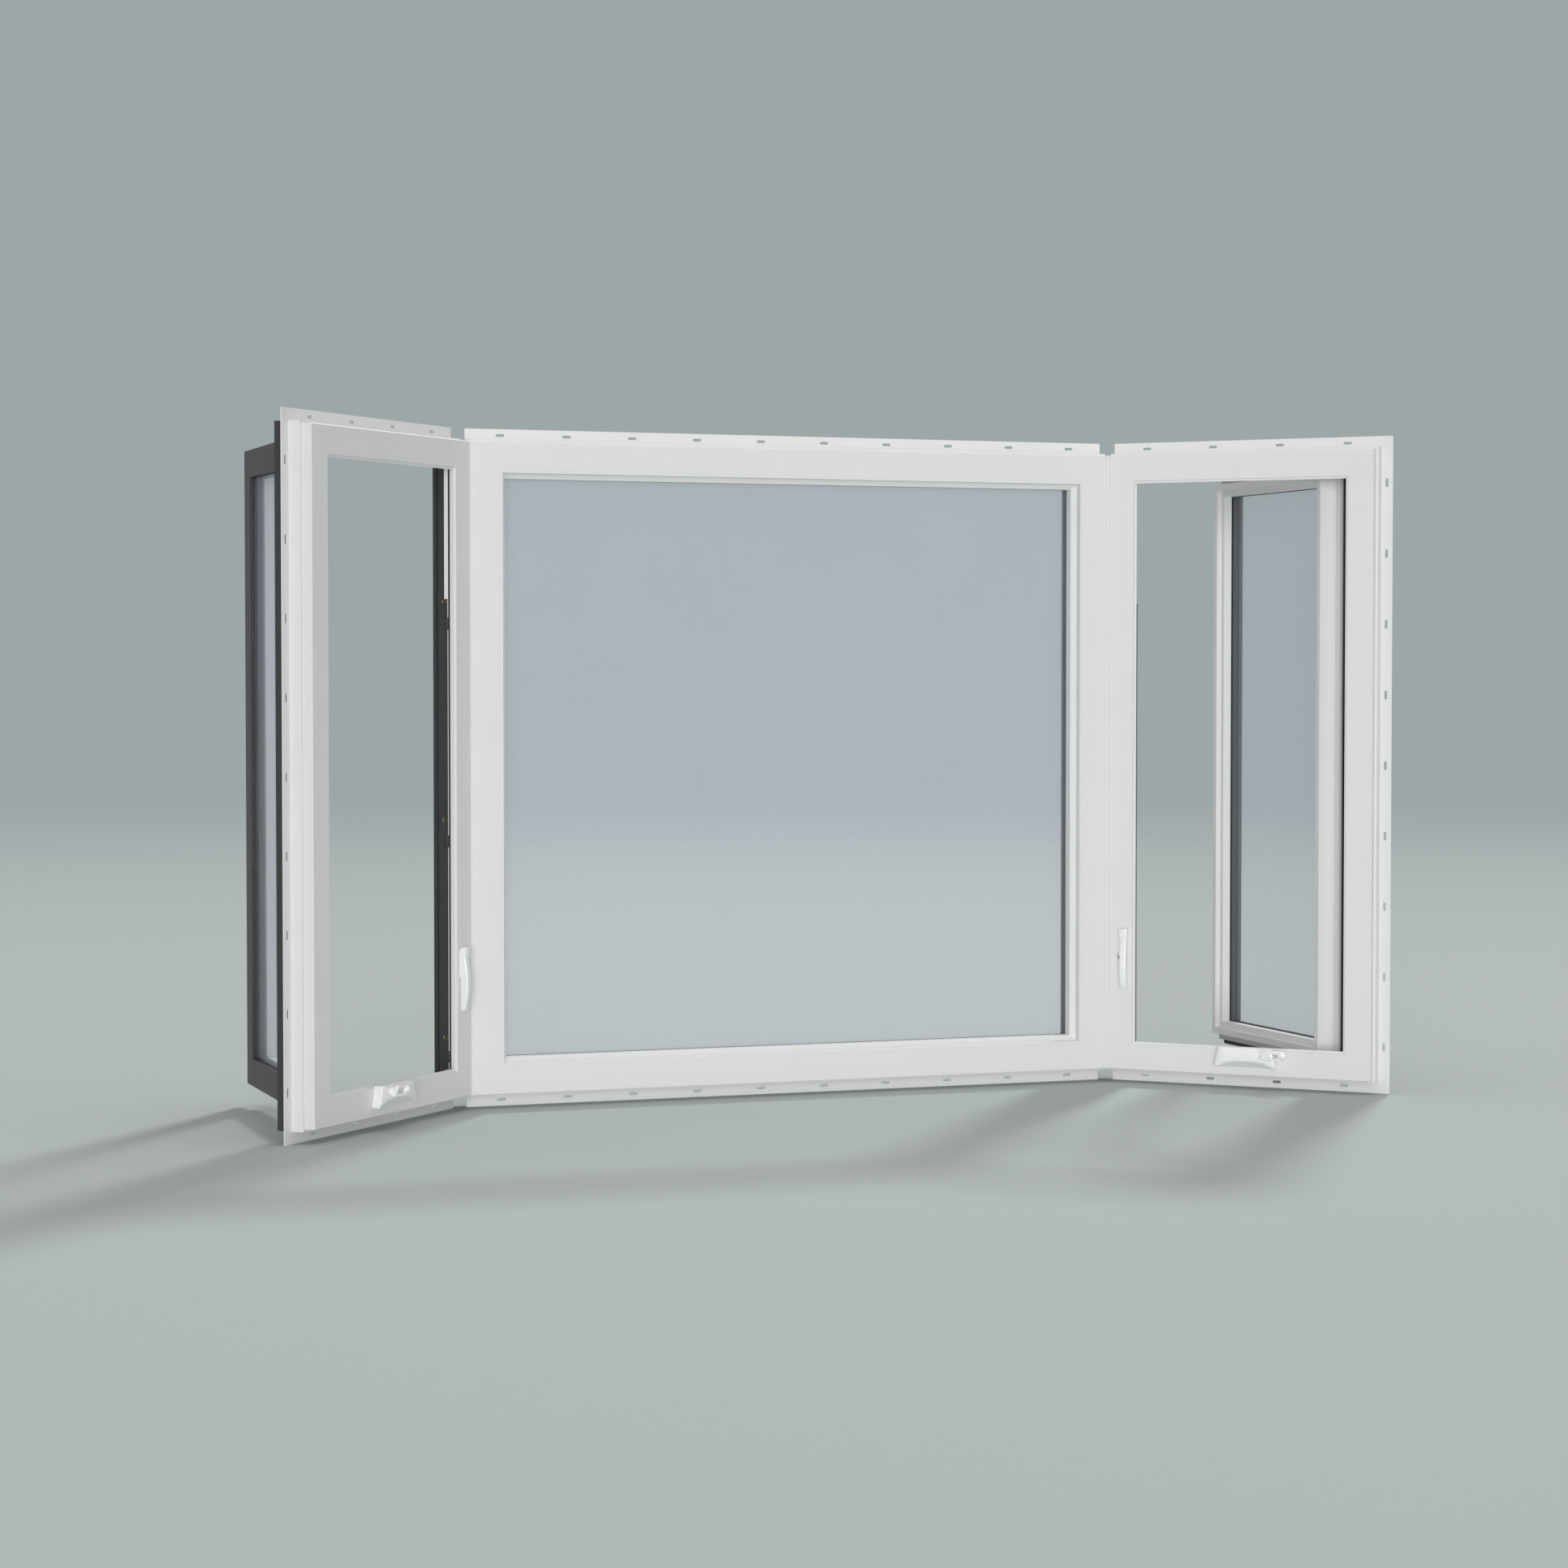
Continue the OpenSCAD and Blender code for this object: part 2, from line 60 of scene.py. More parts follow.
def node(tree, kind, settings=None, **links):
    """Adds a shader node, sets its properties, then sets or links its sockets by name."""
    made = tree.nodes.new("ShaderNode" + kind)
    for name, value in (settings or {}).items():
        setattr(made, name, value)
    for name, value in links.items():
        socket = made.inputs[int(name[1:])] if name[1:].isdigit() else made.inputs[name.replace("_", " ")]
        if isinstance(value, bpy.types.NodeSocket):
            tree.links.new(value, socket)
        else:
            socket.default_value = value
    return made


def new_material(name):
    """A material with one Principled shader, which is returned with its tree."""
    material = bpy.data.materials.new(name)
    material.use_nodes = True
    tree = material.node_tree
    return material, tree, tree.nodes["Principled BSDF"]


def set_shader(shader, **values):
    """Sets a shader's sockets by name, for what is the same all over the surface."""
    for name, value in values.items():
        shader.inputs[name.replace("_", " ")].default_value = value


def extruded_vinyl(name, light, shade, turn, upright, roughness, grain_depth):
    """Rigid PVC pushed through a die: satin, with faint die lines along the bar and a fine orange peel."""
    material, tree, shader = new_material(name)
    set_shader(shader, Roughness=roughness, IOR=1.53, Specular_IOR_Level=0.35)
    place = node(tree, "TexCoord").outputs["Object"]
    # Die lines are 2 mm apart, and one fades into the next every 250 mm along the bar. The turn
    # lines them up with the bar.
    across, along = cells(2), cells(250)
    lengthwise = (across, across, along) if upright else (along, across, across)
    lines = node(tree, "Mapping", Vector=place, Rotation=(0, 0, turn), Scale=lengthwise)
    streaks = node(tree, "TexNoise", Vector=lines.outputs[0], Scale=1.0, Detail=2.0, Roughness=0.6)
    # Orange peel is drawn about 1.5 mm wide, coarser than the real one, so that it shows.
    peel = node(tree, "TexNoise", Vector=place, Scale=cells(1.538), Detail=3.0, Roughness=0.55)
    # Handling marks and cooling give broad, faint changes of tone a hand's width across.
    cloud = node(tree, "TexNoise", Vector=place, Scale=cells(111), Detail=4.0, Roughness=0.6)
    tone = node(
        tree, "Mix", {"data_type": "RGBA"}, i0=cloud.outputs["Fac"],
        i6=linear(light), i7=linear(shade),
    )
    tree.links.new(tone.outputs[2], shader.inputs["Base Color"])
    gloss = node(
        tree, "MapRange", Value=streaks.outputs["Fac"],
        To_Min=roughness - 0.03, To_Max=roughness + 0.04,
    )
    tree.links.new(gloss.outputs[0], shader.inputs["Roughness"])
    low = node(tree, "Bump", Height=streaks.outputs["Fac"], Strength=0.12, Distance=grain_depth)
    fine = node(
        tree, "Bump", Height=peel.outputs["Fac"], Strength=0.25, Distance=grain_depth * 0.6,
        Normal=low.outputs[0],
    )
    tree.links.new(fine.outputs[0], shader.inputs["Normal"])
    return material


def float_glass():
    """Clear float glass: flat and polished, with a painted reflection: a faint cool veil that thickens at
    grazing angles.
    """
    material, tree, shader = new_material("float_glass")
    # The pale cool base colour is painted reflection, shown where the veil makes the glass partly opaque.
    set_shader(shader, Base_Color=linear("#E2E7F8"), Roughness=0.02, IOR=1.52)
    place = node(tree, "TexCoord").outputs["Object"]
    # Painted reflection: a veil of the pale base colour, which dust and wiping vary over a hand's width.
    wiped = node(tree, "TexNoise", Vector=place, Scale=cells(143), Detail=3.0, Distortion=0.6)
    reflection_and_dust = node(tree, "MapRange", Value=wiped.outputs["Fac"], To_Min=0.05, To_Max=0.066)
    # The low index and a fifth of the rise keep the painted reflection gentle, because each pane counts it
    # at both faces.
    edge_on = node(tree, "Fresnel", IOR=1.1)
    painted_reflection = node(
        tree, "Math", {"operation": "MULTIPLY_ADD"}, i0=edge_on.outputs[0], i1=0.2, i2=reflection_and_dust.outputs[0]
    )
    tree.links.new(painted_reflection.outputs[0], shader.inputs["Alpha"])
    return material


def fine_grained(name, colour, roughness, **more):
    """A moulded or coated finish with a fine grain in its relief and its gloss."""
    material, tree, shader = new_material(name)
    set_shader(shader, Roughness=roughness, **more)
    place = node(tree, "TexCoord").outputs["Object"]
    # The grain is drawn about 1.1 mm wide and 0.02 mm deep, coarser than the real one, so that it
    # shows. Tone drifts by a tenth over 40 mm.
    speckle = node(tree, "TexNoise", Vector=place, Scale=cells(1.111), Detail=3.0)
    cloud = node(tree, "TexNoise", Vector=place, Scale=cells(40), Detail=3.0)
    dark = tuple(c * 0.9 for c in linear(colour)[:3]) + (1.0,)
    tone = node(
        tree, "Mix", {"data_type": "RGBA"}, i0=cloud.outputs["Fac"],
        i6=linear(colour), i7=dark,
    )
    tree.links.new(tone.outputs[2], shader.inputs["Base Color"])
    gloss = node(
        tree, "MapRange", Value=speckle.outputs["Fac"], To_Min=roughness * 0.85, To_Max=roughness * 1.15
    )
    tree.links.new(gloss.outputs[0], shader.inputs["Roughness"])
    relief = node(tree, "Bump", Height=speckle.outputs["Fac"], Strength=0.3, Distance=0.02 * MM)
    tree.links.new(relief.outputs[0], shader.inputs["Normal"])
    return material


# White and black PVC: near-white and charcoal bars, each with die lines that follow its own length.
LIES = {"level": (0, False), "upright": (0, True), "right": (UNIT_TURN, False), "left": (-UNIT_TURN, False)}
vinyl = {}
for colour, light, shade, rough, depth in (
    ("white", "#E9E9E8", "#E4E4E3", 0.42, 0.03 * MM),
    ("black", "#2E2F31", "#292A2C", 0.4, 0.04 * MM),
):
    for lie, (turn, upright) in LIES.items():
        name = f"{colour}_pvc_{lie}"
        vinyl[colour, lie] = extruded_vinyl(name, light, shade, turn, upright, rough, depth)

glass = float_glass()
# Silicone foam with a black skin: a dull dark band between the panes, almost without highlights.
spacer_foam = fine_grained("silicone_spacer", "#17181A", 0.6)
# Enamel baked on die-cast zinc: brighter than the vinyl around it, with a soft clear highlight.
enamel = fine_grained(
    "white_enamel", "#F8F9F7", 0.32,
    Specular_IOR_Level=0.7, Coat_Weight=0.4, Coat_Roughness=0.15,
)
# Rolled steel, zinc dipped: pale grey and half bright, its zinc skin a little dull.
steel = fine_grained("galvanised_steel", "#B9B9B7", 0.35, Metallic=0.85)
# Pressed steel, electrocoated: nearly black, with a low even sheen.
dark_steel = fine_grained("e_coated_steel", "#2E2F31", 0.4, Metallic=0.3)
# Extruded EPDM rubber: charcoal and matt, a thin dark line beside the glass.
rubber = fine_grained("epdm_rubber", "#232426", 0.7)
# The same rubber in grey: a soft line that hardly parts the white bead from the glass.
grey_rubber = fine_grained("grey_glazing_rubber", "#A4A6A6", 0.65)
# Turned brass, zinc plated and passivated: a dull yellow glint.
brass = fine_grained("zinc_yellow_brass", "#9C8A4C", 0.3, Metallic=1.0)


def finish_of(name):
    """The material of a CAD node, from its name."""
    side = name.split("_")[0]
    if "glass" in name:
        return glass
    if "spacer" in name:
        return spacer_foam
    if "tie_bar" in name:
        return dark_steel
    if "arm" in name:
        return steel
    if "operator_cover" in name or "crank" in name or "lever" in name:
        return enamel
    colour = "black" if "outdoor" in name or "post_cover" in name else "white"
    if "jamb" in name or "post" in name:
        return vinyl[colour, "upright"]
    if side == "centre":
        return vinyl[colour, "level"]
    return vinyl[colour, "upright" if "sash" in name or "outdoor" in name else side]


for name, piece in nodes.items():
    piece.data.materials.clear()
    piece.data.materials.append(finish_of(name))


# ---------------------------------------------------------------- places
# The units' frames, in millimetres: u along the unit, outwards from the post on a side unit, v
# outdoors from the frame's room face, and z from mid-height.
FRAME_H, FRAME_D = 1362, 81
CENTRE_W, SIDE_W = 1446, 599
POST_GAP, FIN_OUT = 6.4, 29.4
# The sash's edge is this far inside the frame's outer edge.
SASH_IN = 17
SASH_W, SASH_H = SIDE_W - 2 * SASH_IN, FRAME_H - 2 * SASH_IN
# The sash turns about a line this far in from the frame's edge and this far outdoors.
HINGE_IN, HINGE_DEPTH = 110, 26.7
# The shift centres the object's depth on the origin, and the fins' feet stand at z = 0.
CORNER_X, SHIFT_Y, MID_Z = CENTRE_W / 2 + POST_GAP, 92.196, FRAME_H / 2 + FIN_OUT
FLIP_X = Matrix.Diagonal((-1, 1, 1, 1))
CENTRE = Matrix.Translation(Vector((-CENTRE_W / 2, SHIFT_Y, MID_Z)))
RIGHT = Matrix.Translation(Vector((CORNER_X, SHIFT_Y, MID_Z))) @ Matrix.Rotation(-UNIT_TURN, 4, "Z")
LEFT = FLIP_X @ RIGHT
# From the open sash's frame, whose u runs back from its hinge edge, to its unit's frame.
HINGE_AT = Matrix.Translation(Vector((SIDE_W - HINGE_IN, HINGE_DEPTH, 0)))
OPEN = HINGE_AT @ Matrix.Rotation(-UNIT_TURN, 4, "Z") @ FLIP_X
SIDES = (("right", RIGHT), ("left", LEFT))


# ---------------------------------------------------------------- modelling helpers
def added(kind, name, **options):
    """A new primitive in millimetres, alone in the selection."""
    bpy.ops.object.select_all(action="DESELECT")
    getattr(bpy.ops.mesh, f"primitive_{kind}_add")(**options)
    piece = bpy.context.object
    piece.name = name
    return piece


def brick(name, low, high):
    """A cube stretched between two corners, left in edit mode."""
    piece = added("cube", name, size=1)
    bpy.ops.object.mode_set(mode="EDIT")
    bpy.ops.transform.resize(value=[b - a for a, b in zip(low, high)])
    bpy.ops.transform.translate(value=[(a + b) / 2 for a, b in zip(low, high)])
    return piece


def tipped(axis):
    """Turns a new primitive a quarter turn about an axis through the origin, in edit mode."""
    bpy.ops.object.mode_set(mode="EDIT")
    bpy.ops.transform.rotate(value=RIGHT_ANGLE, orient_axis=axis, center_override=(0, 0, 0))


def moved(x, y, z):
    """Moves the selection in edit mode."""
    bpy.ops.transform.translate(value=(x, y, z))


def extruded(x, y, z):
    """Extrudes the selection in edit mode."""
    bpy.ops.mesh.extrude_region_move(TRANSFORM_OT_translate={"value": (x, y, z)})


def pick(piece, kind, test):
    """Selects the faces, edges or vertices for which test is true, in edit mode."""
    bpy.ops.object.mode_set(mode="EDIT")
    bpy.ops.mesh.select_mode(type=kind)
    bpy.ops.mesh.select_all(action="DESELECT")
    bpy.ops.object.mode_set(mode="OBJECT")
    points = piece.data.vertices
    if kind == "VERT":
        for point in points:
            point.select = test(point.co)
    elif kind == "FACE":
        for face in piece.data.polygons:
            face.select = test(face)
    else:
        for edge in piece.data.edges:
            edge.select = test(*(points[i].co for i in edge.vertices))
    bpy.ops.object.mode_set(mode="EDIT")


def modified(piece, kind, **settings):
    """Adds a modifier and applies it."""
    bpy.ops.object.mode_set(mode="OBJECT")
    bpy.context.view_layer.objects.active = piece
    change = piece.modifiers.new(kind.lower(), kind)
    for name, value in settings.items():
        setattr(change, name, value)
    bpy.ops.object.modifier_apply(modifier=change.name)


def rounded(piece, width, segments=3, angle=30):
    """Rounds every edge that turns by more than an angle in degrees."""
    limit = math.radians(angle)
    modified(piece, "BEVEL", width=width, segments=segments, limit_method="ANGLE", angle_limit=limit)


def joined(first, *others):
    """Several shapes as one piece, which keeps the first one's name."""
    bpy.ops.object.mode_set(mode="OBJECT")
    for part in (first, *others):
        part.select_set(True)
    bpy.context.view_layer.objects.active = first
    bpy.ops.object.join()
    return first


def copy_of(piece, name):
    """A copy with its own mesh."""
    twin = piece.copy()
    twin.data = piece.data.copy()
    twin.name = name
    bpy.context.scene.collection.objects.link(twin)
    return twin


def placed(piece, place, finish, stands_for=()):
    move = Matrix.Scale(MM, 4) @ place
    piece.data.transform(move)
    if move.determinant() < 0:
        piece.data.flip_normals()
    bpy.ops.object.select_all(action="DESELECT")
    piece.select_set(True)
    bpy.context.view_layer.objects.active = piece
    bpy.ops.object.shade_smooth_by_angle(angle=math.radians(35))
    piece.data.materials.clear()
    piece.data.materials.append(finish)
    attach(piece, "root")
    if stands_for:
        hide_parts(*stands_for)
    return piece


def gasket(name, w, h, inset, width, v, depth, round_by):
    """A mitred ring in a unit's plane: inset from its edge, width wide, from v to v + depth."""
    piece = added("plane", name, size=1)
    tipped("X")
    bpy.ops.transform.resize(value=(w - 2 * inset, 1, h - 2 * inset))
    moved(w / 2, v, 0)
    bpy.ops.mesh.inset(thickness=width)
    bpy.ops.mesh.delete(type="FACE")
    bpy.ops.mesh.select_all(action="SELECT")
    extruded(0, depth, 0)
    bpy.ops.mesh.select_all(action="SELECT")
    bpy.ops.mesh.normals_make_consistent(inside=False)
    rounded(piece, round_by, 2)
    return piece


# ---------------------------------------------------------------- operator cover
COVER_AT, COVER_L, COVER_OUT = 323, 136, 24
COVER_TOP, COVER_LOW = -619, -663
# Covers and levers stand this far off the frame's room face.
FACE_GAP = 0.5


def operator_cover(name):
    """Cover of the crank operator: blunt ends, a chin that bows down over a sloping underside."""
    half = COVER_L / 2
    u0, u1, front = COVER_AT - half, COVER_AT + half, -COVER_OUT
    columns, rows = 16, 4
    rise = (COVER_TOP - COVER_LOW) / rows
    piece = brick(name, (u0, front, COVER_LOW), (u1, -FACE_GAP, COVER_TOP))
    pick(piece, "EDGE", lambda a, b: abs(a.x - b.x) > 1)
    bpy.ops.mesh.subdivide(number_cuts=columns - 1)
    pick(piece, "EDGE", lambda a, b: abs(a.z - b.z) > 1)
    bpy.ops.mesh.subdivide(number_cuts=rows - 1)

    def shaped(u, low, high, back, up):
        """Moves the front points at u, between two heights, unless an earlier move took them back."""
        pick(piece, "VERT", lambda co: abs(co.x - u) < 1 and co.y < front + 1 and low < co.z < high)
        moved(0, back, up)

    # Heights that part the underside's edge from the chin, and the chin from the front.
    chin, cheek = COVER_LOW + 1, COVER_LOW + 16
    for step in range(columns + 1):
        u = u0 + step * COVER_L / columns
        # From 0 in the middle to 1 at either end.
        t = abs(u - COVER_AT) / half
        crown = 1 - t * t
        # The underside's edge lies further back and rises in the middle, and the chin follows it.
        shaped(u, COVER_LOW - 1, chin, 3 + 3 * t, 13 * crown)
        shaped(u, chin, cheek, 2.5 * t ** 3, 6 * crown)
        # The front falls back towards both ends, and the middle of its top edge leans back.
        shaped(u, cheek, COVER_TOP + 1, 4.5 * t ** 3, 0)
        shaped(u, COVER_TOP - 1, COVER_TOP + 1, 7, 0)
    # Both ends lean in towards the top.
    for end, way in ((u0, 1), (u1, -1)):
        for row, lean in enumerate((7, 5, 3)):
            height = COVER_TOP - row * rise
            pick(piece, "VERT", lambda co: abs(co.x - end) < 1 and abs(co.z - height) < 2)
            moved(way * lean, 0, 0)
    rounded(piece, 3.2, 4, 42)
    return piece


# ---------------------------------------------------------------- crank handle
HUB_U, ARM_FRONT, ARM_FOOT = 363, -37, -640
# The arm's outline, along from the hub and up from the foot.
ARM_OUTLINE = ((-3, 0), (46, -3), (60, 7), (48, 19), (14, 20))
ARM_T, ARM_RIM = 9, 6.2
# The boss and the knob, along from the hub and up from the foot.
BOSS_R, BOSS_T, BOSS_V = 8.5, 11, -27
BOSS_ALONG, BOSS_UP = 9, 9
KNOB_R, KNOB_ALONG, KNOB_UP = 8.5, 49, 10


def crank_arm(name, way):
    """Flat arm cast with a triangular opening, folded towards way along u."""
    arm = added("circle", name, vertices=len(ARM_OUTLINE), radius=1, fill_type="NGON")
    starts = [point.co.copy() for point in arm.data.vertices]
    for start, (along, up) in zip(starts, ARM_OUTLINE):
        pick(arm, "VERT", lambda co: (co - start).length < 0.01)
        moved(*(Vector((HUB_U + along * way, ARM_FRONT, ARM_FOOT + up)) - start))
    pick(arm, "FACE", lambda face: True)
    bpy.ops.mesh.inset(thickness=ARM_RIM)

    def far_side(co):
        """Whether a point is at the opening's far side, which stays solid under the knob."""
        return 36 < (co.x - HUB_U) * way < 56 and ARM_FOOT + 3 < co.z < ARM_FOOT + 14

    def opening(face):
        """Whether a face is the one inside the rim."""
        return all(abs(arm.data.vertices[i].co.z - ARM_FOOT - 8) < 8.5 for i in face.vertices)

    pick(arm, "VERT", far_side)
    moved(-9 * way, 0, -1)
    pick(arm, "FACE", opening)
    bpy.ops.mesh.delete(type="FACE")
    bpy.ops.mesh.select_all(action="SELECT")
    extruded(0, ARM_T, 0)
    bpy.ops.mesh.select_all(action="SELECT")
    bpy.ops.mesh.normals_make_consistent(inside=False)
    rounded(arm, 1.9, 3)
    return arm


def crank_handle(name, way):
    """Folded crank: the arm, a dished boss over the operator's shaft, and a round knob."""
    arm = crank_arm(name, way)
    boss = added("cylinder", name + "_boss", vertices=32, radius=BOSS_R, depth=BOSS_T)
    tipped("X")
    moved(HUB_U + BOSS_ALONG * way, BOSS_V, ARM_FOOT + BOSS_UP)
    pick(boss, "FACE", lambda face: face.normal.y < -0.9)
    bpy.ops.mesh.inset(thickness=3)
    extruded(0, 1.5, 0)
    rounded(boss, 1, 3)
    knob = added("uv_sphere", name + "_knob", segments=24, ring_count=16, radius=KNOB_R)
    bpy.ops.object.mode_set(mode="EDIT")
    bpy.ops.transform.resize(value=(1.3, 0.85, 1))
    moved(HUB_U + KNOB_ALONG * way, ARM_FRONT + 2, ARM_FOOT + KNOB_UP)
    # Its back flattens against the arm.
    pick(knob, "FACE", lambda face: face.center.y > ARM_FRONT + 6)
    bpy.ops.transform.resize(value=(0.9, 0.6, 0.9))
    return joined(arm, boss, knob)


# ---------------------------------------------------------------- lock lever
LEVER_U, LEVER_LOW, LEVER_HIGH = 40, -500, -382
HEAD_LOW, HEAD_HIGH = -389, -368


def lock_lever(name):
    """Lock lever: a bowed blade that tapers to its ends, with a blunt head on a pivot above."""
    front, steps = -13, 12
    blade = brick(name, (LEVER_U - 8, front, LEVER_LOW), (LEVER_U + 8, -FACE_GAP, LEVER_HIGH))
    pick(blade, "EDGE", lambda a, b: abs(a.z - b.z) > 1)
    bpy.ops.mesh.subdivide(number_cuts=steps - 1)
    middle = steps / 2
    for step in range(steps + 1):
        z = LEVER_LOW + step * (LEVER_HIGH - LEVER_LOW) / steps
        # From -1 at the foot to 1 at the top.
        t = (step - middle) / middle
        pick(blade, "VERT", lambda co: abs(co.z - z) < 1 and co.y < front + 1)
        moved(0, -6.2 + 8 * t * t, 0)
    rounded(blade, 3.6, 4, 42)
    head = brick(name + "_head", (LEVER_U - 9, -15, HEAD_LOW), (LEVER_U + 9, -3.5, HEAD_HIGH))
    # Its top rises in a small step, and its front swells to a flat.
    pick(head, "FACE", lambda face: face.normal.z > 0.9)
    bpy.ops.mesh.inset(thickness=2.5)
    extruded(0, 1, 0.8)
    pick(head, "FACE", lambda face: face.normal.y < -0.9)
    bpy.ops.mesh.inset(thickness=4)
    moved(0, -1.2, 2)
    rounded(head, 2.4, 4, 25)
    return joined(blade, head)


def lever_plate(name):
    """Escutcheon behind the lever, with a raised middle."""
    piece = brick(name, (25, -4, -430), (48, 0.4, -372))
    pick(piece, "FACE", lambda face: face.normal.y < -0.9)
    bpy.ops.mesh.inset(thickness=2)
    moved(0, -0.8, 0)
    rounded(piece, 1.4, 3)
    return piece


def slot_mark(name):
    """Small dark slot at the foot of the escutcheon, where the tie bar's drive comes through."""
    piece = brick(name, (25.5, -5.4, -434), (30, -0.2, -423))
    pick(piece, "FACE", lambda face: face.normal.y < -0.9)
    bpy.ops.mesh.inset(thickness=1.1)
    moved(0, 1, 0)
    rounded(piece, 0.8, 2)
    return piece


# ---------------------------------------------------------------- small hardware
def screw(name):
    """Pan-head screw seen from -Y: a domed rim and a recessed drive."""
    radius, height = 3.4, 1.8
    piece = added("cylinder", name, vertices=24, radius=radius, depth=height)
    tipped("X")
    pick(piece, "FACE", lambda face: face.normal.y < -0.9)
    bpy.ops.mesh.inset(thickness=radius * 0.35)
    moved(0, -0.5, 0)
    bpy.ops.mesh.inset(thickness=radius * 0.3)
    extruded(0, 1.1, 0)
    rounded(piece, 0.25, 2, 40)
    return piece


def lock_pin(name):
    """Roller on a lock pin, its axis along u, with dished ends."""
    piece = added("cylinder", name, vertices=24, radius=4.4, depth=5.6)
    tipped("Y")
    pick(piece, "FACE", lambda face: abs(face.normal.x) > 0.9)
    bpy.ops.mesh.inset(thickness=1.1)
    bpy.ops.transform.resize(value=(0.75, 1, 1), center_override=(0, 0, 0))
    rounded(piece, 0.4, 2)
    return piece


def keeper(name):
    """Guide clip around the tie bar, with a raised middle."""
    piece = brick(name, (54.6, 19, -12), (57.8, 30.4, 12))
    pick(piece, "FACE", lambda face: face.normal.x > 0.9)
    bpy.ops.mesh.inset(thickness=2.4)
    extruded(1.6, 0, 0)
    rounded(piece, 0.8, 2)
    return piece


def weep_cover(name):
    """Hooded drain cover on an outdoor face."""
    piece = brick(name, (-19, -0.5, -4), (19, 1.4, 4))
    pick(piece, "FACE", lambda face: face.normal.y > 0.9)
    bpy.ops.mesh.inset(thickness=1.3)
    extruded(0, 1.6, -0.8)
    # The hood is hollow from below.
    pick(piece, "FACE", lambda face: face.normal.z < -0.5 and face.center.y > 1.4)
    bpy.ops.mesh.inset(thickness=0.4)
    extruded(0, 0, 1.0)
    rounded(piece, 0.5, 2)
    return piece


# ---------------------------------------------------------------- seals and handles
# Each ring's inset from its unit's or sash's edge, width, place outdoors, depth and rounding.
CENTRE_SEALS = (
    ("centre_glazing_seal", grey_rubber, 74, 1.6, 47.6, 1.5, 0.4),
    ("centre_outdoor_seal", rubber, 71.4, 2.4, 69.9, 1.6, 0.5),
)
SASH_SEALS = (
    ("glazing_seal", 58.4, 1.6, 29.9, 1.5, 0.4),
    ("outdoor_seal", 56.4, 2.2, 50.2, 1.6, 0.5),
    # On the room face of the sash's flange.
    ("sash_bulb", 3.5, 3.8, 43.6, 3.6, 1.4),
)
STOP_SEALS = (
    ("stop_bulb", 54.4, 2.4, 16.2, 4, 1.1),
    # Near the frame's outdoor edge.
    ("rebate_seal", 14.6, 3, 70, 5, 1.3),
)
for name, finish, *sizes in CENTRE_SEALS:
    placed(gasket(name, CENTRE_W, FRAME_H, *sizes), CENTRE, finish)
for side, unit in SIDES:
    for name, *sizes in SASH_SEALS:
        placed(gasket(f"{side}_{name}", SASH_W, SASH_H, *sizes), unit @ OPEN, rubber)
    for name, *sizes in STOP_SEALS:
        placed(gasket(f"{side}_{name}", SIDE_W, FRAME_H, *sizes), unit, rubber)
    # The two cranks fold opposite ways along their units.
    fold = 1 if side == "right" else -1
    for piece, stands_for in (
        (operator_cover(f"{side}_cover_shell"), "operator_cover"),
        (crank_handle(f"{side}_crank", fold), "crank_handle"),
        (lock_lever(f"{side}_lever_blade"), "lock_lever"),
    ):
        placed(piece, unit, enamel, [f"{side}_{stands_for}"])
    placed(lever_plate(f"{side}_lever_plate"), unit, enamel)
    placed(slot_mark(f"{side}_lever_slot"), unit, dark_steel)


# ---------------------------------------------------------------- repeated hardware
# Modelled once and copied.
patterns = {
    "lock_pin": (lock_pin("lock_pin"), brass, "hinge_steel"),
    "keeper": (keeper("keeper"), dark_steel, "lock_bar"),
    "screw": (screw("screw"), steel, "hinge_steel"),
    "weep_cover": (weep_cover("weep_cover"), rubber, "black_vinyl"),
}
FACING_UP = Matrix.Rotation(-RIGHT_ANGLE, 4, "X")
FACING_DOWN = Matrix.Rotation(RIGHT_ANGLE, 4, "X")


def at(u, v, z, turn=None):
    """A place in a unit's frame, turned if need be."""
    spot = Matrix.Translation(Vector((u, v, z)))
    return spot @ turn if turn else spot


def repeat(pattern, name, place):
    """Places one copy of a pattern."""
    piece, finish, slot = patterns[pattern]
    placed(copy_of(piece, name), place, finish)


# Pins stand on the tie bar, and a keeper holds the bar below each.
FIRST_PIN, LOCK_GAP = 347, 450
PIN_U, PIN_V = 59.6, 26.25
KEEPER_DROPS = (45, 45, 42)
# Screws fix each hinge track, back from the arm's foot, where a rivet holds the arm. The faces
# that they lie on are this far above or below mid-height.
HINGE_ROOT = (520, 40)
TRACK_FACE, FOOT_FACE = 660.4, 653
SCREWS_BACK = (130, 78, 36)
OPERATOR_RIVET = (COVER_AT, 41.5, -656.4)
SIDE_WEEPS, SIDE_WEEP_Z = (120, 480), -673
CENTRE_WEEPS, CENTRE_WEEP_Z = (150, CENTRE_W / 2, CENTRE_W - 150), -655

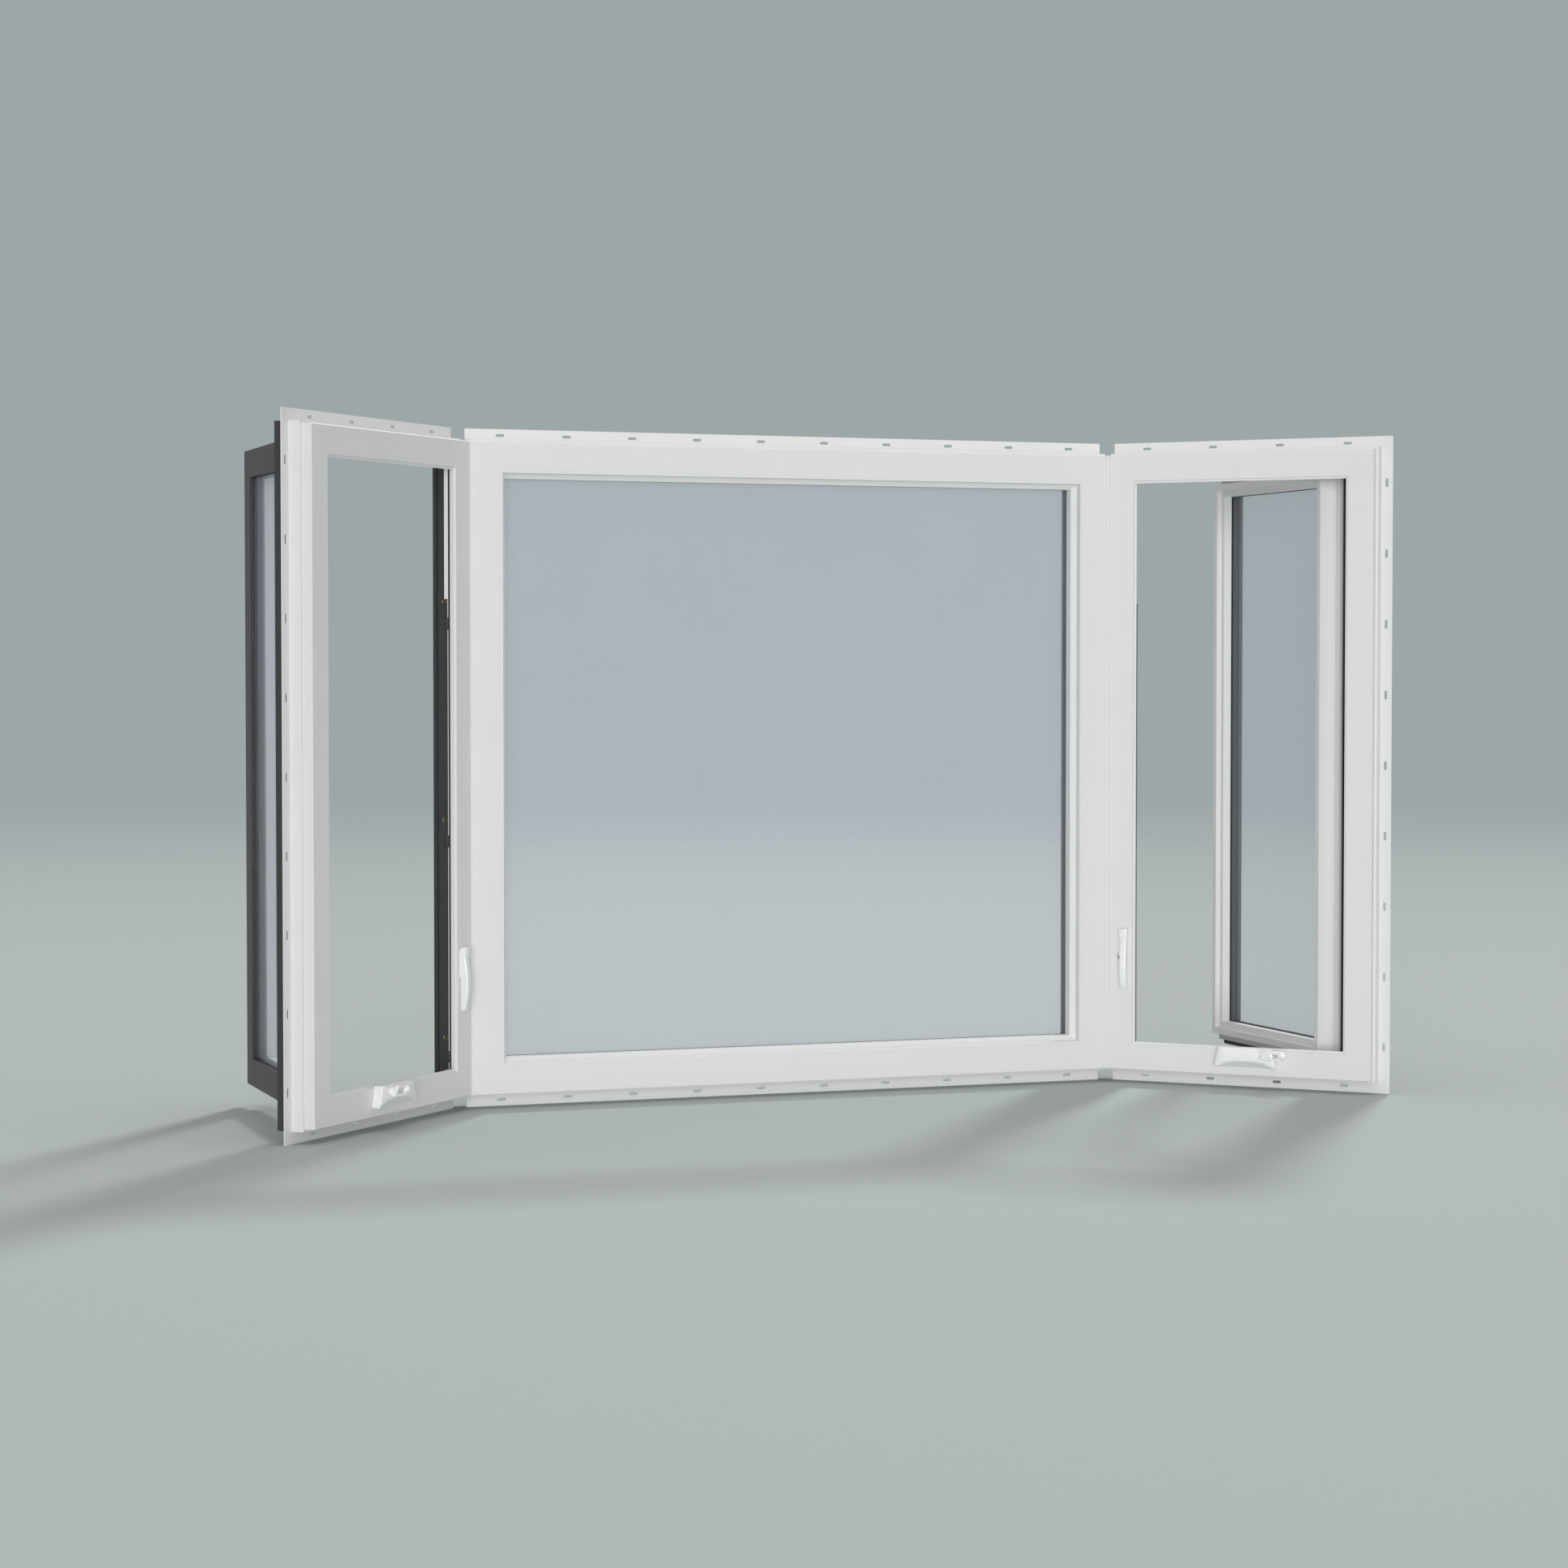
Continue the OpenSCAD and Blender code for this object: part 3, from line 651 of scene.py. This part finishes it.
for side, unit in SIDES:
    # Only the left bar carries pins.
    for k, drop in enumerate(KEEPER_DROPS if side == "left" else ()):
        z = FIRST_PIN - k * LOCK_GAP
        repeat("lock_pin", f"{side}_lock_roller_{k}", unit @ at(PIN_U, PIN_V, z))
        repeat("keeper", f"{side}_tie_keeper_{k}", unit @ at(0, 0, z - drop))
    for end, facing in ((1, FACING_UP), (-1, FACING_DOWN)):
        for k, back in enumerate(SCREWS_BACK):
            spot = at(HINGE_ROOT[0] - back, HINGE_ROOT[1], -end * TRACK_FACE, facing)
            repeat("screw", f"{side}_track_screw_{end + 1}_{k}", unit @ spot)
        spot = at(*HINGE_ROOT, -end * FOOT_FACE, facing)
        repeat("screw", f"{side}_hinge_rivet_{end + 1}", unit @ spot)
    repeat("screw", f"{side}_operator_rivet", unit @ at(*OPERATOR_RIVET, FACING_UP))
    for k, u in enumerate(SIDE_WEEPS):
        repeat("weep_cover", f"{side}_weep_{k}", unit @ at(u, FRAME_D, SIDE_WEEP_Z))
for k, u in enumerate(CENTRE_WEEPS):
    repeat("weep_cover", f"centre_weep_{k}", CENTRE @ at(u, FRAME_D, CENTRE_WEEP_Z))
for piece, *_ in patterns.values():
    bpy.data.objects.remove(piece)


# ---------------------------------------------------------------- studio
AMBIENT, GLOSS_FRONT, GLOSS_BACK = 0.3, 1.15, 0.4
BACKDROP = "#9DA7A8"


def grey(level):
    """A grey of one linear level."""
    return (level, level, level, 1)


def studio():
    """A pale floor that fades out, soft light from a plain room, three broad lamps and a camera."""
    bpy.ops.object.select_all(action="DESELECT")
    bpy.ops.mesh.primitive_plane_add(size=60, location=(0, 0, 0))
    floor = bpy.context.object
    floor.name = "studio_floor"
    material, tree, shader = new_material("painted_studio_floor")
    set_shader(shader, Base_Color=linear("#AEB6B4"), Roughness=0.9, Specular_IOR_Level=0.2)
    # The floor fades into the air between 2.5 m and 18 m out, and leaves no edge in reflections.
    place = node(tree, "TexCoord").outputs["Object"]
    reach = node(tree, "VectorMath", {"operation": "LENGTH"}, i0=place)
    fade = node(
        tree, "MapRange", {"interpolation_type": "SMOOTHSTEP"}, Value=reach.outputs["Value"],
        From_Min=2.5, From_Max=18.0,
    )
    path = node(tree, "LightPath")
    mirrored = node(
        tree, "Math", {"operation": "GREATER_THAN"},
        i0=path.outputs["Is Glossy Ray"], i1=path.outputs["Is Transmission Ray"],
    )
    gone = node(tree, "Math", {"operation": "MAXIMUM"}, i0=fade.outputs[0], i1=mirrored.outputs[0])
    clear = node(tree, "BsdfTransparent")
    mixed = node(tree, "MixShader", i0=gone.outputs[0], i1=shader.outputs[0], i2=clear.outputs[0])
    tree.links.new(mixed.outputs[0], tree.nodes["Material Output"].inputs["Surface"])
    floor.data.materials.append(material)
    # Light also reaches the lower faces from below, as from a pale sweep.
    floor.visible_shadow = False

    world = bpy.data.worlds.new("studio_air")
    bpy.context.scene.world = world
    world.use_nodes = True
    tree = world.node_tree
    path = node(tree, "LightPath")
    way = node(tree, "TexCoord").outputs["Generated"]
    heading = node(tree, "SeparateXYZ", Vector=way)
    # Gloss sees a bright room in front of the window and a dim one behind it.
    behind = node(
        tree, "MapRange", {"interpolation_type": "SMOOTHSTEP"}, Value=heading.outputs["Y"],
        From_Min=-0.4, From_Max=0.4,
    )
    room = node(
        tree, "Mix", {"data_type": "RGBA"}, i0=behind.outputs[0],
        i6=grey(GLOSS_FRONT), i7=grey(GLOSS_BACK),
    )
    soft = node(
        tree, "Mix", {"data_type": "RGBA"}, i0=path.outputs["Is Glossy Ray"],
        i6=grey(AMBIENT), i7=room.outputs[2],
    )
    direct = node(
        tree, "Math", {"operation": "MAXIMUM"},
        i0=path.outputs["Is Camera Ray"], i1=path.outputs["Is Transmission Ray"],
    )
    tone = node(
        tree, "Mix", {"data_type": "RGBA"}, i0=direct.outputs[0],
        i6=soft.outputs[2], i7=linear(BACKDROP),
    )
    tree.links.new(tone.outputs[2], tree.nodes["Background"].inputs["Color"])
    tree.nodes["Background"].inputs["Strength"].default_value = 1.0

    def softbox(name, direction, strength, angle):
        """A broad lamp far away, angle degrees across, that shines in a direction."""
        data = bpy.data.lights.new(name, "SUN")
        data.energy = strength
        data.angle = math.radians(angle)
        lamp = bpy.data.objects.new(name, data)
        lamp.rotation_euler = Vector(direction).to_track_quat("-Z", "Y").to_euler()
        bpy.context.scene.collection.objects.link(lamp)

    softbox("front_softbox", direction=(0.34, 0.93, -0.05), strength=1.56, angle=35)
    softbox("back_softbox", direction=(-0.96, -1.21, -1.42), strength=1.5, angle=8)
    softbox("top_softbox", direction=(0, 0, -1), strength=1.0, angle=60)

    # The camera stands about 7 m out, to the left of the front and a little above mid-height.
    camera = bpy.data.objects.new("camera", bpy.data.cameras.new("camera"))
    bpy.context.scene.collection.objects.link(camera)
    camera.data.sensor_width = 36
    camera.data.lens = 79.33
    camera.location = (-2.5529, -6.8851, 0.9155)
    camera.rotation_euler = (math.radians(88.122), 0, math.radians(-19.827))
    camera.data.clip_end = 200
    bpy.context.scene.camera = camera
    bpy.context.scene.view_settings.view_transform = "Standard"


studio()
